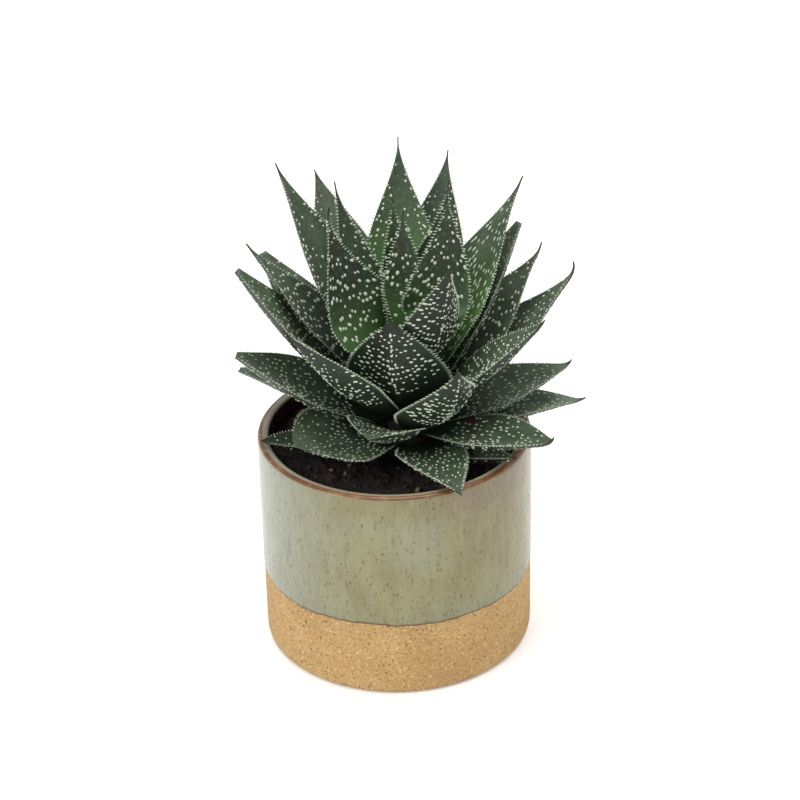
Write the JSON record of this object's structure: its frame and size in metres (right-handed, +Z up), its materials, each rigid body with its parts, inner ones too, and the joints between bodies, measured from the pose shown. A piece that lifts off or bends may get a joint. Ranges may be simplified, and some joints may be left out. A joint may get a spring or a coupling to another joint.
{
  "type": "potted gasteria",
  "caption": "Dense rosette of thick, toothed, spotted succulent leaves growing from soil in a straight round glazed ceramic pot with a bare clay foot band.",
  "frame": {"origin": "centre of the pot's flat bottom face", "axes": "+Z up, the pictured front faces -Y, +X to the viewer's right"},
  "size_m": [0.1715, 0.1595, 0.2332],
  "materials": {
    "glaze": "glossy sage glaze over a bare tan clay band",
    "soil": "matte crumbly potting soil",
    "stem": "matte green",
    "leaf": "satin waxy leaf skin"
  },
  "bodies": {
    "root": {"pot": "glaze", "soil": "soil", "stem": "stem", "leaf_crown_1": "leaf", "leaf_crown_2": "leaf", "leaf_crown_3": "leaf", "leaf_crown_4": "leaf", "leaf_crown_5": "leaf", "leaf_crown_6": "leaf", "leaf_crown_7": "leaf", "leaf_upper_1": "leaf", "leaf_upper_2": "leaf", "leaf_upper_3": "leaf", "leaf_upper_4": "leaf", "leaf_upper_5": "leaf", "leaf_upper_6": "leaf", "leaf_upper_7": "leaf", "leaf_middle_1": "leaf", "leaf_middle_2": "leaf", "leaf_middle_3": "leaf", "leaf_middle_4": "leaf", "leaf_middle_5": "leaf", "leaf_middle_6": "leaf", "leaf_middle_7": "leaf", "leaf_lower_1": "leaf", "leaf_lower_2": "leaf", "leaf_lower_3": "leaf", "leaf_lower_4": "leaf", "leaf_lower_5": "leaf", "leaf_lower_6": "leaf", "leaf_lower_7": "leaf", "leaf_lower_8": "leaf", "leaf_lower_9": "leaf", "leaf_lower_10": "leaf", "leaf_lower_11": "leaf", "leaf_back_1": "leaf", "leaf_back_2": "leaf", "leaf_back_3": "leaf", "leaf_back_4": "leaf", "leaf_back_5": "leaf", "leaf_back_6": "leaf", "leaf_back_7": "leaf"}
  },
  "joints": []
}
